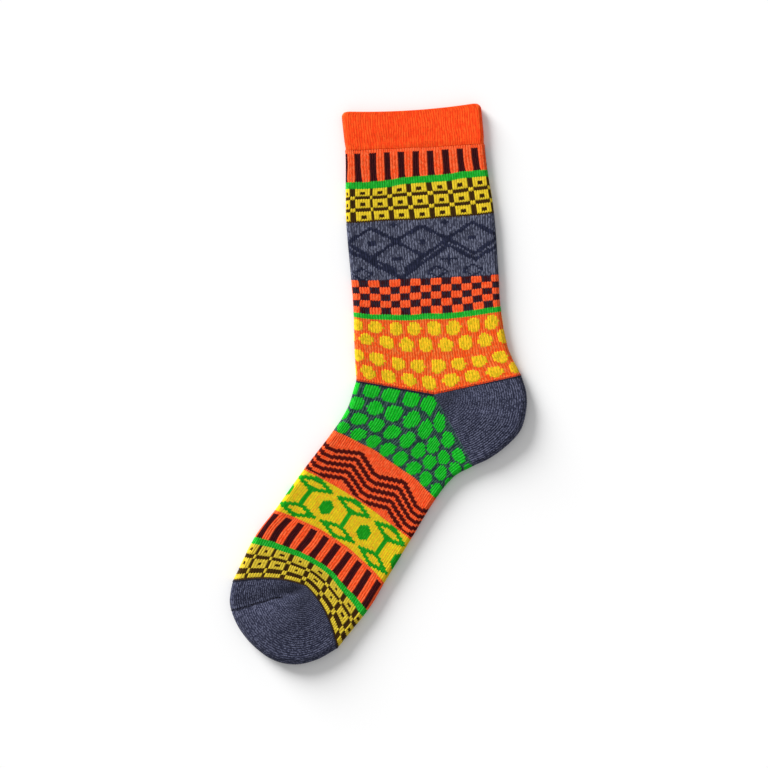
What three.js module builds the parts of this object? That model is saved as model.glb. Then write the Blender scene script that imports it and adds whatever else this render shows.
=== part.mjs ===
// A knitted crew sock laid flat on its side, with its cuff at the top, its heel to the right
// and its toe to the lower left.
// Millimetres. X runs to the right, Y towards the cuff and Z up from the surface it lies on.
// The origin is on that surface, under the middle of the sock.
import * as THREE from 'three';

// The cloth
const WALL = 2.0; // one layer of thick jacquard knit, with its floats
const WELT_WALL = 2.4; // the cuff welt is turned double
const SEAM_GAP = 0.3; // between one knitted stretch and the next
const EDGE_SWELL = 0.5; // the folded edges stand this much above the middle of the side
const WELT_CORNER = 3.4; // rounding of the cuff's two corners, seen from above
const WELT_EDGE_ROUND = 0.6; // rounding of the turned edge of the welt, inside and out
const HEEL_SWELL = 1.5; // the heel pocket is fuller than the leg beside it
const TOE_SWELL = 2.0; // and so is the toe pocket
const SWELL_REACH = 0.55; // share of the pocket's depth over which it fills out
const POINT_HOLE = 1.2; // a pocket's wedge starts this far from its point

// How finely each section is drawn
const FLAT_STEPS = 8; // across each flat side of a tube, and along that of a pocket
const FOLD_STEPS = 6; // round each folded edge
const HEEL_STEPS = 12;
const TOE_STEPS = 20;

// The courses where the pattern changes, from the cuff down the leg. A course is one round of
// stitches. Front is the fold over the shin and instep, middle is the side's middle wale and
// back is the fold down the calf and sole. Kink is 0 for a round bow through the three points
// and 1 for two straight halves. Stack is the height of the flattened tube at its folds.
const LEG_COURSES = [
  { name: 'cuff edge', course: 0, kink: 0, stack: 5.8,
    front: [-22.3, 163.2], middle: [20.0, 164.2], back: [61.7, 168.6] },
  { name: 'welt end', course: 22, kink: 0, stack: 5.8,
    front: [-20.0, 139.8], middle: [21.8, 141.5], back: [64.1, 144.0] },
  { name: 'bars end', course: 40, kink: 0, stack: 5.6,
    front: [-19.7, 121.2], middle: [22.7, 124.5], back: [65.9, 127.8] },
  { name: 'squares end', course: 64, kink: 0, stack: 5.6,
    front: [-19.3, 96.6], middle: [25.1, 98.7], back: [69.8, 102.6] },
  { name: 'diamonds end', course: 98, kink: 0, stack: 5.8,
    front: [-16.3, 61.8], middle: [28.4, 63.2], back: [72.5, 65.8] },
  { name: 'checks end', course: 118, kink: 0, stack: 6.0,
    front: [-14.9, 42.6], middle: [29.3, 41.9], back: [73.6, 46.8] },
  { name: 'dots middle', course: 139, kink: 0.35, stack: 6.3,
    front: [-14.4, 21.6], middle: [31.7, 16.5], back: [77.9, 22.5] },
  { name: 'dots end', course: 158, kink: 1, stack: 6.6,
    front: [-13.2, 2.0], middle: [33.7, -6.2], back: [85.9, 5.3] },
];

// The same down the foot. Its first course joins the leg over the instep, and the edge of the
// heel pocket under the sole.
const FOOT_COURSES = [
  { name: 'heel gore', course: 0, kink: 1, stack: 6.6,
    front: [-13.2, 2.0], middle: [33.7, -6.2], back: [57.2, -49.2] },
  { name: 'arch middle', course: 16, kink: 0.5, stack: 6.3,
    front: [-18.9, -15.0], middle: [20.3, -29.8], back: [44.9, -56.4] },
  { name: 'arch end', course: 32, kink: 0, stack: 6.0,
    front: [-27.7, -28.8], middle: [5.4, -46.2], back: [34.1, -69.9] },
  { name: 'zigzag end', course: 58, kink: 0, stack: 5.8,
    front: [-44.8, -51.3], middle: [-10.9, -70.6], back: [19.6, -93.6] },
  { name: 'hexagons end', course: 85, kink: 0, stack: 6.0,
    front: [-61.3, -74.6], middle: [-25.2, -92.0], back: [4.4, -118.5] },
  { name: 'foot bars end', course: 105, kink: 0, stack: 6.3,
    front: [-74.2, -91.8], middle: [-35.6, -106.6], back: [-5.1, -134.4] },
  { name: 'toe edge', course: 130, kink: 0.3, stack: 7.0,
    front: [-87.4, -118.2], middle: [-43.3, -121.2], back: [-24.4, -158.7] },
];

// The folded outline of each pocket between its two end courses, clockwise seen from above.
const HEEL_OUTLINE = [
  { name: 'heel back', x: 89.0, y: -4.8 },
  { name: 'heel widest', x: 89.2, y: -14.4 },
  { name: 'heel round', x: 85.7, y: -27.6 },
  { name: 'heel base', x: 77.8, y: -36.6 },
  { name: 'heel underside', x: 66.5, y: -45.0 },
];
const TOE_OUTLINE = [
  { name: 'ball side', x: -36.7, y: -165.5 },
  { name: 'toe lowest', x: -49.9, y: -168.4 },
  { name: 'toe round', x: -63.1, y: -165.6 },
  { name: 'toe lower left', x: -75.5, y: -156.6 },
  { name: 'toe tip', x: -84.7, y: -144.6 },
  { name: 'toe seam end', x: -89.1, y: -132.0 },
  { name: 'toe upper', x: -88.7, y: -125.0 },
];

// Soft troughs in the upper side. Heading is the turn of the long axis from +X, in degrees.
const TROUGHS = [
  { name: 'toe seam pucker', x: -51.5, y: -125.6, long: 9, wide: 4, heading: 10, depth: 1.3 },
  { name: 'toe crease', x: -36.0, y: -128.0, long: 14, wide: 5, heading: -40, depth: 0.7 },
  { name: 'squeezed squares', x: -33.5, y: -118.0, long: 11, wide: 4, heading: -42, depth: 0.8 },
  { name: 'heel gore crease', x: 41.0, y: -17.0, long: 20, wide: 4, heading: -60, depth: 0.5 },
  { name: 'heel top crease', x: 50.0, y: -7.0, long: 18, wide: 5, heading: 12, depth: 0.4 },
  { name: 'instep crease', x: 6.0, y: 3.0, long: 22, wide: 6, heading: -12, depth: 0.4 },
];

// The knitted stretches, each a flattened tube between two courses of its run. Across and down
// are the steps that its flat sides and its length are drawn in.
const STRETCHES = [
  { node: 'leg_upper', run: LEG_COURSES, from: 22, to: 98, across: 8, down: 13, colour: 0x7a6a3c },
  { node: 'leg_lower', run: LEG_COURSES, from: 98, to: 158, across: 8, down: 11, colour: 0xf07a20 },
  { node: 'foot_arch', run: FOOT_COURSES, from: 0, to: 58, across: 8, down: 14, colour: 0x1c8c34 },
  { node: 'foot_middle', run: FOOT_COURSES, from: 58, to: 86, across: 10, down: 7, colour: 0xd0b02a },
  { node: 'foot_front', run: FOOT_COURSES, from: 86, to: 130, across: 14, down: 12, colour: 0xc8742a },
];
const WELT_ROWS = [0, 0.25, 0.8, 1.7, 3.2, 6, 10, 14, 18, 22]; // courses drawn in the cuff welt
const ORANGE = 0xfc5020;
const GREY_MARL = 0x4e5064;
const KNIT_ROUGHNESS = 0.92;

const toRadians = THREE.MathUtils.degToRad;
const smooth = (t) => t * t * (3 - 2 * t);

// A course's numbers as one list, so that all of them are blended alike.
function numbersOf(row) {
  return [...row.front, ...row.middle, ...row.back, row.kink, row.stack];
}

// The course at a given count down a run, on a smooth curve through the run's rows.
function courseAt(run, course) {
  const last = run.length - 2;
  const i = Math.min(last, Math.max(0, run.findLastIndex((row) => row.course <= course)));
  const slope = (k) => {
    const a = run[Math.max(0, k - 1)];
    const b = run[Math.min(run.length - 1, k + 1)];
    const from = numbersOf(a);
    return numbersOf(b).map((value, n) => (value - from[n]) / (b.course - a.course));
  };
  const span = run[i + 1].course - run[i].course;
  const t = (course - run[i].course) / span;
  const [p, q, mp, mq] = [numbersOf(run[i]), numbersOf(run[i + 1]), slope(i), slope(i + 1)];
  const v = p.map((value, n) => value + (q[n] - value) * smooth(t)
    + span * t * (1 - t) * (mp[n] * (1 - t) - mq[n] * t));
  return {
    front: new THREE.Vector2(v[0], v[1]),
    middle: new THREE.Vector2(v[2], v[3]),
    back: new THREE.Vector2(v[4], v[5]),
    kink: THREE.MathUtils.clamp(v[6], 0, 1),
    stack: v[7],
  };
}

// A point on a course, at share u of the way from the front fold to the back fold.
function pointOn(row, u) {
  const bow = row.front.clone().multiplyScalar((1 - u) * (1 - 2 * u))
    .addScaledVector(row.middle, 4 * u * (1 - u))
    .addScaledVector(row.back, u * (2 * u - 1));
  const straight = u < 0.5
    ? row.front.clone().lerp(row.middle, 2 * u)
    : row.middle.clone().lerp(row.back, 2 * u - 1);
  return bow.lerp(straight, row.kink);
}

// The same point moved square to the course, towards the toe where shift is positive.
function shiftedOn(row, u, shift) {
  const reach = 0.01;
  const along = pointOn(row, Math.min(1, u + reach)).sub(pointOn(row, Math.max(0, u - reach)));
  const square = new THREE.Vector2(along.y, -along.x).normalize();
  return pointOn(row, u).addScaledVector(square, shift);
}

function courseWidth(row) {
  return row.front.distanceTo(row.middle) + row.middle.distanceTo(row.back);
}

// How far the upper side sinks at a place, from the troughs there.
function troughAt(place) {
  let sum = 0;
  for (const trough of TROUGHS) {
    const turn = toRadians(trough.heading);
    const dx = place.x - trough.x;
    const dy = place.y - trough.y;
    const along = (dx * Math.cos(turn) + dy * Math.sin(turn)) / trough.long;
    const across = (dy * Math.cos(turn) - dx * Math.sin(turn)) / trough.wide;
    sum += trough.depth * Math.exp(-(along * along + across * across) * 2);
  }
  return sum;
}

// Sink of the side between its folds. Edge is 0 at the middle wale and 1 at a fold.
function sag(edge) {
  return EDGE_SWELL * (1 - Math.abs(edge) ** 3);
}

// A vertical section's points, as distance along the course, height, and share of the upper
// side's form that the point takes. It starts on the upper side and goes round a fold, set in
// from the outer face by inset.
function flatSide(from, to, height, upper, across = FLAT_STEPS) {
  return [...Array(across + 1).keys()].map((i) => (
    { along: from + (to - from) * (i / across), height, upper }));
}

function fold(centre, side, stack, inset, startsAbove) {
  const radius = stack / 2 - inset;
  return [...Array(FOLD_STEPS - 1).keys()].map((k) => {
    const turn = Math.PI * ((k + 1) / FOLD_STEPS) * (startsAbove ? 1 : -1)
      + (startsAbove ? 0 : Math.PI);
    return {
      along: centre + side * radius * Math.sin(turn),
      height: stack / 2 + radius * Math.cos(turn),
      upper: Math.max(0, Math.cos(turn)),
    };
  });
}

function tubeSection(row, inset, across) {
  const width = courseWidth(row);
  const half = row.stack / 2;
  return [
    ...flatSide(half, width - half, row.stack - inset, 1, across),
    ...fold(width - half, 1, row.stack, inset, true),
    ...flatSide(width - half, half, inset, 0, across),
    ...fold(half, -1, row.stack, inset, false),
  ];
}

// One ring of a tube: the section's points set along the course, with the upper side's form.
function tubeRing(row, inset, shift, across) {
  const width = courseWidth(row);
  return tubeSection(row, inset, across).map(({ along, height, upper }) => {
    const u = along / width;
    const place = shiftedOn(row, THREE.MathUtils.clamp(u, 0, 1), shift);
    const sink = upper * (sag(2 * u - 1) + troughAt(place));
    return new THREE.Vector3(place.x, place.y, height - sink);
  });
}

// The cuff's two corners are rounded, so its folds draw in near the edge.
function roundWelt(row, distance) {
  const short = Math.max(0, WELT_CORNER - distance);
  const inwards = WELT_CORNER - Math.sqrt(WELT_CORNER ** 2 - short ** 2);
  const across = row.back.clone().sub(row.front).normalize();
  row.front.addScaledVector(across, inwards);
  row.back.addScaledVector(across, -inwards);
  return row;
}

// A closed wall from an outer and an inner grid of points. Each row has the same count, and the
// rows are rings where closed is true. Winding puts the outside of the wall outwards.
function wallGeometry(outer, inner, closed) {
  const rows = outer.length;
  const count = outer[0].length;
  const points = [...outer.flat(), ...inner.flat()];
  const o = (i, j) => i * count + (j % count);
  const n = (i, j) => rows * count + o(i, j);
  const index = [];
  const quad = (a, b, c, d) => index.push(a, b, c, a, c, d);
  const spans = closed ? count : count - 1;
  for (let j = 0; j < spans; j += 1) {
    for (let i = 0; i < rows - 1; i += 1) {
      quad(o(i, j), o(i + 1, j), o(i + 1, j + 1), o(i, j + 1));
      quad(n(i, j), n(i, j + 1), n(i + 1, j + 1), n(i + 1, j));
    }
    quad(o(0, j), o(0, j + 1), n(0, j + 1), n(0, j));
    quad(o(rows - 1, j + 1), o(rows - 1, j), n(rows - 1, j), n(rows - 1, j + 1));
  }
  if (!closed) {
    for (let i = 0; i < rows - 1; i += 1) {
      quad(o(i + 1, 0), o(i, 0), n(i, 0), n(i + 1, 0));
      quad(o(i, count - 1), o(i + 1, count - 1), n(i + 1, count - 1), n(i, count - 1));
    }
  }
  const geometry = new THREE.BufferGeometry();
  geometry.setAttribute('position', new THREE.Float32BufferAttribute(
    points.flatMap((p) => [p.x, p.y, p.z]), 3));
  geometry.setIndex(index);
  geometry.computeVertexNormals();
  return geometry;
}

function knitMesh(node, geometry, colour) {
  const material = new THREE.MeshStandardMaterial({
    color: colour, roughness: KNIT_ROUGHNESS, metalness: 0 });
  const mesh = new THREE.Mesh(geometry, material);
  mesh.name = node;
  return mesh;
}

// A plain stretch of tube. Its end rows stop half a seam gap short of its end courses.
function stretchMesh({ node, run, from, to, across, down, colour }) {
  const outer = [];
  const inner = [];
  for (let i = 0; i <= down; i += 1) {
    const row = courseAt(run, from + (to - from) * (i / down));
    const shift = i === 0 ? SEAM_GAP / 2 : i === down ? -SEAM_GAP / 2 : 0;
    outer.push(tubeRing(row, 0, shift, across));
    inner.push(tubeRing(row, WALL, shift, across));
  }
  return knitMesh(node, wallGeometry(outer, inner, true), colour);
}

// The welt at the top of the leg, with its turned edge.
function weltMesh() {
  const edge = LEG_COURSES[0];
  const end = LEG_COURSES[1];
  const pitch = Math.hypot(edge.front[0] - end.front[0], edge.front[1] - end.front[1]) / end.course;
  const outer = [];
  const inner = [];
  for (const course of WELT_ROWS) {
    const row = roundWelt(courseAt(LEG_COURSES, course), course * pitch);
    const shift = course === end.course ? -SEAM_GAP / 2 : 0;
    const turned = Math.max(0, 1 - course * pitch / WELT_EDGE_ROUND);
    const taken = WELT_EDGE_ROUND * turned;
    outer.push(tubeRing(row, taken, shift, FLAT_STEPS));
    inner.push(tubeRing(row, WELT_WALL - taken, shift, FLAT_STEPS));
  }
  return knitMesh('cuff_welt', wallGeometry(outer, inner, true), ORANGE);
}

// A pocket is a hairpin section, from its point out to the fold and back underneath, swept from
// the first end course to the second. Each end is a function from share of depth to place.
function pocketMesh({ node, first, second, outline, steps, stack, swell }) {
  const edge = new THREE.CatmullRomCurve3([
    first(1), ...outline.map(({ x, y }) => new THREE.Vector2(x, y)), second(1),
  ].map((p) => new THREE.Vector3(p.x, p.y, 0)), false, 'centripetal');
  const bend = (end, w) => end(w).sub(end(0).lerp(end(1), w));
  const outer = [];
  const inner = [];
  for (let i = 0; i <= steps; i += 1) {
    const t = i / steps;
    const rim = edge.getPointAt(t);
    const point = first(0).lerp(second(0), t);
    const tip = new THREE.Vector2(rim.x, rim.y);
    const depth = point.distanceTo(tip);
    const fuller = swell * Math.sin(Math.PI * t);
    const height = stack + fuller;
    const ring = (inset) => [
      ...flatSide(POINT_HOLE, depth - height / 2, height - inset, 1),
      ...fold(depth - height / 2, 1, height, inset, true),
      ...flatSide(depth - height / 2, POINT_HOLE, inset, 0),
    ].map((p) => {
      const w = p.along / depth;
      const place = point.clone().lerp(tip, w)
        .addScaledVector(bend(first, w), (1 - t) ** 2)
        .addScaledVector(bend(second, w), t ** 2);
      const unfilled = fuller * (1 - smooth(Math.min(1, w / SWELL_REACH)));
      const sink = p.upper * (sag(w) + troughAt(place) + unfilled);
      return new THREE.Vector3(place.x, place.y, p.height - sink);
    });
    outer.push(ring(0));
    inner.push(ring(WALL));
  }
  return knitMesh(node, wallGeometry(outer, inner, false), GREY_MARL);
}

function heelMesh() {
  const above = courseAt(LEG_COURSES, LEG_COURSES.at(-1).course);
  const below = courseAt(FOOT_COURSES, 0);
  return pocketMesh({
    node: 'heel_pocket',
    first: (w) => shiftedOn(above, 0.5 + w / 2, SEAM_GAP / 2),
    second: (w) => shiftedOn(below, 0.5 + w / 2, -SEAM_GAP / 2),
    outline: HEEL_OUTLINE,
    steps: HEEL_STEPS,
    stack: above.stack,
    swell: HEEL_SWELL,
  });
}

function toeMesh() {
  const edge = courseAt(FOOT_COURSES, FOOT_COURSES.at(-1).course);
  return pocketMesh({
    node: 'toe_pocket',
    first: (w) => shiftedOn(edge, 0.5 + w / 2, SEAM_GAP / 2),
    second: (w) => shiftedOn(edge, 0.5 - w / 2, SEAM_GAP / 2),
    outline: TOE_OUTLINE,
    steps: TOE_STEPS,
    stack: edge.stack,
    swell: TOE_SWELL,
  });
}

const group = new THREE.Group();
group.add(weltMesh());
for (const stretch of STRETCHES) {
  group.add(stretchMesh(stretch));
}
group.add(heelMesh());
group.add(toeMesh());

export default group;
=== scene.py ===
"""A knitted crew sock laid flat on its side, dressed stitch by stitch round its solids.

Each knitted stretch and pocket of the part is replaced by a thin wall of knit on the same form:
120 wales round, each a rib of slanting stitches, with every stitch in the colour that the bands
of the pattern give it. Light and shade are painted into these colours too: lighter on the
stitches' crowns, darker between them, on the inside, along the toe seam and at the joins.
Sizes are in millimetres, wales and courses; meshes are in metres. X runs
to the right, Y towards the cuff and Z up, as in the part.
"""

import logging
import math
from dataclasses import dataclass, field
from enum import Enum
from typing import Callable, Iterator

import bmesh
import bpy
import numpy as np
from mathutils import Matrix, Vector
from mathutils.bvhtree import BVHTree


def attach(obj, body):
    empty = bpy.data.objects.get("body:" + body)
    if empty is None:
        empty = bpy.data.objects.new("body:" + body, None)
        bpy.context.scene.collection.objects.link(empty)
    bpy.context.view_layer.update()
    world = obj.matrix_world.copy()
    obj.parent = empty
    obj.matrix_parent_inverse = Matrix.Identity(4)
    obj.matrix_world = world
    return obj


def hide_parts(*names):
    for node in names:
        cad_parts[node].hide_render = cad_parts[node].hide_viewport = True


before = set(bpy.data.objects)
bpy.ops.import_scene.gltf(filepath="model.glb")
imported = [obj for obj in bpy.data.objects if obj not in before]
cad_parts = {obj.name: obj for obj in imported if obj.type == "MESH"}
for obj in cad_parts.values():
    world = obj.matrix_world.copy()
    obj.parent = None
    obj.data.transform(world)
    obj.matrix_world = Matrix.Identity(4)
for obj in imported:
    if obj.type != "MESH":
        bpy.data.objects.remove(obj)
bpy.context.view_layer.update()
LOG = logging.getLogger("sock")
Array = np.ndarray
MM = 0.001
SEED = 1209

# The cloth, as in the part
WALL = 2.0  # one layer of thick jacquard knit, with its floats
WELT_WALL = 2.4  # the cuff welt is turned double
EDGE_SWELL = 0.5  # the folded edges stand this much above the middle of the side
WELT_CORNER = 3.4  # rounding of the cuff's two corners, seen from above
WELT_EDGE_ROUND = 0.6  # rounding of the turned edge of the welt
WELT_TURN_ROWS = 5  # extra rows round that edge
WELT_NIP = 0.5  # how far the elastic at the welt's end draws each fold in
WELT_NIP_COURSES = 4  # over how many courses it does so
HEEL_SWELL = 1.5
TOE_SWELL = 2.0
SWELL_REACH = 0.55  # share of a pocket's depth over which it fills out

# The knit
FACE_WALES = 60  # wales between the two folds, on each face
WALES_ROUND = 2 * FACE_WALES
POCKET_WALES = 40  # wales of a pocket from its point to its fold, on each face
COLUMNS_PER_WALE = 4
ROWS_PER_COURSE = 2
STITCH_SECTION = (0.36, 0.02, 0.13, 0.02)  # depth below the cloth's face, across one wale
FLECK_SECTION = (0.5, 1.5, 1.5, 0.5)  # share of the twist that shows, across one wale: most on the crowns; with the marls' pale twist it is partly a painted highlight there
STITCH_NECK = 0.12  # extra depth where one stitch leaves the next
STITCH_SLANT = 0.6  # courses that a stitch's legs fall from the wale's middle to its edge
STITCH_LIGHT = 1.27  # painted light on the crown of a stitch, as a factor on its colour, where 1 is that of the whole cloth
SHADE_BETWEEN = 1.3  # painted shade: colour lost for each millimetre of depth between the stitches
INSIDE_LIGHT = 0.55  # painted shade: share of the colour kept on the inside and the rims
TONE_LOW, TONE_SPAN = 0.92, 0.16  # each stitch takes the dye a little differently
DICE = 997  # how many random numbers the flecks and tones are drawn from
FLECK_STEP = (131, 57)  # steps through them from one place to the next, across and down
TONE_STEP = (71, 89)
FLECK_SHIFT = (3.1, 2.4)  # swing and turn that set the flecks of each column apart
WALE_WANDER = 0.4  # wales that the knit strays sideways
COURSE_WANDER = 0.45  # courses that it strays along
WANDER_WALES = 7.5  # size of one stray
WANDER_COURSES = 11.0
WANDER_BEFORE = 3  # the strays start this many courses before the run
WANDER_GRID = (16, 32)  # strays round and along, after which they repeat
JOIN_COURSES = 8  # the stray dies out over these before a join
POINT_WALES = 8  # a pocket's stitches die out over these at its folds
HAIR = 0.01  # a corner of the mesh takes the yarn this far past it
MEASURE_ROWS = 60  # a tube's flat size is measured at this many courses
CURVE_STEPS = 40  # places drawn between two points of a curve
CURVE_SPOTS = 400  # evenly spaced places that a curve is given as
SEAM_SPOTS = 60  # and for the seam, where only the cloth's nearness to it counts
INNER_ROWS = 10  # the plain inside of a wall is drawn in this many rows
WELD = 0.002  # points closer than this are one, in millimetres
RIM_ANGLE = math.radians(72)  # edges sharper than this part the cloth's face from its rims


@dataclass(frozen=True)
class Course:
    """One round of stitches where the pattern changes, its points in millimetres from above.

    Front is the fold over the shin and instep, middle the side's middle wale, back the fold
    down the calf and sole. Kink is 0 for a round bow through the three points and 1 for two
    straight halves. Stack is the height of the flattened tube at its folds.
    """

    count: float
    front: tuple[float, float]
    middle: tuple[float, float]
    back: tuple[float, float]
    kink: float
    stack: float


LEG_COURSES = (
    Course(0, (-22.3, 163.2), (20.0, 164.2), (61.7, 168.6), 0, 5.8),  # cuff edge
    Course(22, (-20.0, 139.8), (21.8, 141.5), (64.1, 144.0), 0, 5.8),  # welt end
    Course(40, (-19.7, 121.2), (22.7, 124.5), (65.9, 127.8), 0, 5.6),  # bars end
    Course(64, (-19.3, 96.6), (25.1, 98.7), (69.8, 102.6), 0, 5.6),  # squares end
    Course(98, (-16.3, 61.8), (28.4, 63.2), (72.5, 65.8), 0, 5.8),  # diamonds end
    Course(118, (-14.9, 42.6), (29.3, 41.9), (73.6, 46.8), 0, 6.0),  # checks end
    Course(139, (-14.4, 21.6), (31.7, 16.5), (77.9, 22.5), 0.35, 6.3),  # dots middle
    Course(158, (-13.2, 2.0), (33.7, -6.2), (85.9, 5.3), 1, 6.6),  # dots end
)
FOOT_COURSES = (
    Course(0, (-13.2, 2.0), (33.7, -6.2), (57.2, -49.2), 1, 6.6),  # heel gore
    Course(16, (-18.9, -15.0), (20.3, -29.8), (44.9, -56.4), 0.5, 6.3),  # arch middle
    Course(32, (-27.7, -28.8), (5.4, -46.2), (34.1, -69.9), 0, 6.0),  # arch end
    Course(58, (-44.8, -51.3), (-10.9, -70.6), (19.6, -93.6), 0, 5.8),  # zigzag end
    Course(85, (-61.3, -74.6), (-25.2, -92.0), (4.4, -118.5), 0, 6.0),  # hexagons end
    Course(105, (-74.2, -91.8), (-35.6, -106.6), (-5.1, -134.4), 0, 6.3),  # foot bars end
    Course(130, (-87.4, -118.2), (-43.3, -121.2), (-24.4, -158.7), 0.3, 7.0),  # toe edge
)

# The folded outline of each pocket between its two end courses, clockwise seen from above.
HEEL_OUTLINE = ((89.0, -4.8), (89.2, -14.4), (85.7, -27.6), (77.8, -36.6), (66.5, -45.0))
TOE_OUTLINE = (
    (-36.7, -165.5), (-49.9, -168.4), (-63.1, -165.6), (-75.5, -156.6), (-84.7, -144.6),
    (-89.1, -132.0), (-88.7, -125.0),
)

# The seam over the toes, from the front fold inwards
TOE_SEAM = (
    (-88.2, -136.1), (-80.2, -134.0), (-73.3, -131.8), (-67.8, -130.4), (-64.0, -128.8),
    (-57.5, -127.8),
)


@dataclass(frozen=True)
class Trough:
    """A soft trough in one side of the sock, or a soft ridge where its depth is negative.

    X and y are its middle, long and wide its reach, in millimetres. Heading is the turn of its
    long axis from +X, in degrees.
    """

    x: float
    y: float
    long: float
    wide: float
    heading: float
    depth: float


TROUGHS = (
    Trough(-52.0, -125.0, 10.5, 4.1, 8, 2.05),  # toe seam pucker
    Trough(-60.0, -118.8, 13, 4.2, 6, -0.5),  # toe edge ridge
    Trough(-36.0, -128.0, 14, 5, -40, 0.7),  # toe crease
    Trough(-33.5, -118.0, 11, 4, -42, 0.8),  # squeezed squares
    Trough(41.0, -17.0, 20, 4, -60, 0.5),  # heel gore crease
    Trough(50.0, -7.0, 18, 5, 12, 0.4),  # heel top crease
    Trough(6.0, 3.0, 22, 6, -12, 0.4),  # instep crease
    Trough(-72.0, -130.6, 24, 7, 14, 1.6),  # toe seam hollow
    Trough(-62.0, -146.0, 22, 11, 30, -0.75),  # toe fullness
    Trough(-42.0, -138.5, 15, 5, -66, 0.9),  # toe side hollow
    Trough(66.0, -22.0, 14, 9, -50, -0.6),  # heel fullness
    Trough(63.5, -14.0, 17, 4.5, -2, 0.55),  # heel hollow
    Trough(2.0, -14.0, 16, 4, -35, 0.35),  # ankle crease
    Trough(50.0, 86.0, 26, 7, 8, 0.3),  # calf ripple
    Trough(-2.0, 60.0, 18, 6, -14, 0.3),  # shin ripple
    Trough(8.0, 146.0, 24, 5, 4, 0.25),  # welt ripple
    Trough(22.0, 141.6, 62, 3, 3, 0.35),  # welt end
    Trough(10.0, -92.0, 20, 5, 52, 0.35),  # sole ripple
    Trough(-50.0, -78.0, 18, 5, 48, 0.3),  # instep ripple
)

# The hidden underside has creases of its own, which lift off the floor.
UNDER_TROUGHS = (
    Trough(30.0, 147.0, 22, 4, -5, 0.2),  # under welt
    Trough(8.0, 104.0, 30, 7, 14, 0.35),  # under calf
    Trough(46.0, 62.0, 22, 5, -9, 0.3),  # under shin
    Trough(14.0, 26.0, 26, 6, 20, 0.4),  # under ankle
    Trough(58.0, -14.0, 18, 5, -38, 0.45),  # under heel
    Trough(44.0, -22.0, 14, 4, -72, 0.3),  # under heel gore
    Trough(2.0, -38.0, 20, 5, -48, 0.4),  # under arch
    Trough(-8.0, -84.0, 24, 6, 38, 0.35),  # under sole
    Trough(-44.0, -92.0, 15, 5, -22, 0.3),  # under instep
    Trough(-66.0, -138.0, 20, 6, 24, 0.5),  # under toe
    Trough(-46.0, -146.0, 12, 4, -58, 0.35),  # under toe side
)


@dataclass(frozen=True)
class YarnLook:
    """How a yarn looks and lies, or the painted shade that stands in for a yarn.

    Args:
        colour: Its colour.
        twist: The second colour of its twist.
        share: The second colour's share.
        rise: How far its stitches stand out from the others, in millimetres.
    """

    colour: str
    twist: str
    share: float
    rise: float


class Yarn(Enum):
    """The yarns of the sock, with the painted shades that stand in for a yarn at the seam and
    joins.
    """

    WELT_ORANGE = YarnLook("#F94412", "#FE5C1E", 0.35, 0.03)
    BAR_ORANGE = YarnLook("#FA501E", "#FF6C3A", 0.4, 0.0)
    MAROON = YarnLook("#380A10", "#4C1014", 0.3, -0.06)
    CHECK_MAROON = YarnLook("#420A10", "#2E2A38", 0.4, -0.06)
    LINE_GREEN = YarnLook("#12A826", "#2CB83A", 0.3, 0.02)
    SQUARE_YELLOW = YarnLook("#EACC2C", "#DEBC26", 0.35, 0.04)
    FOOT_YELLOW = YarnLook("#DCC238", "#CCAE2C", 0.35, 0.04)
    BROWN = YarnLook("#442C04", "#362206", 0.3, -0.1)
    MARL = YarnLook("#3D4052", "#6C7085", 0.3, 0.0)
    NAVY = YarnLook("#1C2034", "#2C3048", 0.3, 0.0)
    # Painted shade: the leg's last course, darker where it meets the heel and foot.
    JOIN_SHADE_ORANGE = YarnLook("#B83A16", "#7C2616", 0.3, 0.03)
    DOT_YELLOW = YarnLook("#FAC420", "#CEB014", 0.38, 0.06)
    DOT_ORANGE = YarnLook("#FF5818", "#F87E38", 0.35, -0.06)
    DOT_GREEN = YarnLook("#08B01E", "#24BA32", 0.35, 0.06)
    SLATE = YarnLook("#22403E", "#48665E", 0.35, -0.08)
    ZIGZAG_MAROON = YarnLook("#440806", "#56100C", 0.3, 0.0)
    HEXAGON_YELLOW = YarnLook("#E8CE1C", "#ECB01E", 0.25, 0.0)
    HEXAGON_GREEN = YarnLook("#129414", "#20A422", 0.3, 0.04)
    POCKET_MARL = YarnLook("#2F3246", "#5D6077", 0.33, 0.0)
    # Painted shade along the toe seam, on the pockets' end courses and on the foot's first course.
    SEAM_SHADE = YarnLook("#1E2232", "#2A2E40", 0.3, -0.06)


YARNS = tuple(Yarn)


def linear_from_hex(colour: str) -> Array:
    """Turns an sRGB colour, such as "#FC4C1C", into linear red, green and blue from 0 to 1."""
    srgb = np.array([int(colour[i:i + 2], 16) for i in (1, 3, 5)]) / 255
    return np.where(srgb <= 0.04045, srgb / 12.92, ((srgb + 0.055) / 1.055) ** 2.4)


def smooth(t: Array) -> Array:
    """Eases t from 0 to 1 with level ends."""
    return t * t * (3 - 2 * t)


def yarn_index(yarn: Yarn) -> int:
    """Gives the yarn's place in YARNS."""
    return YARNS.index(yarn)


@dataclass(frozen=True)
class Slip:
    """A place where the courses of a band lie shifted, as where a round starts or is stretched.

    Wale and course are its middle, reach and length how far it goes, shift is in courses.
    """

    wale: float
    course: float
    reach: float
    length: float
    shift: float


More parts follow.
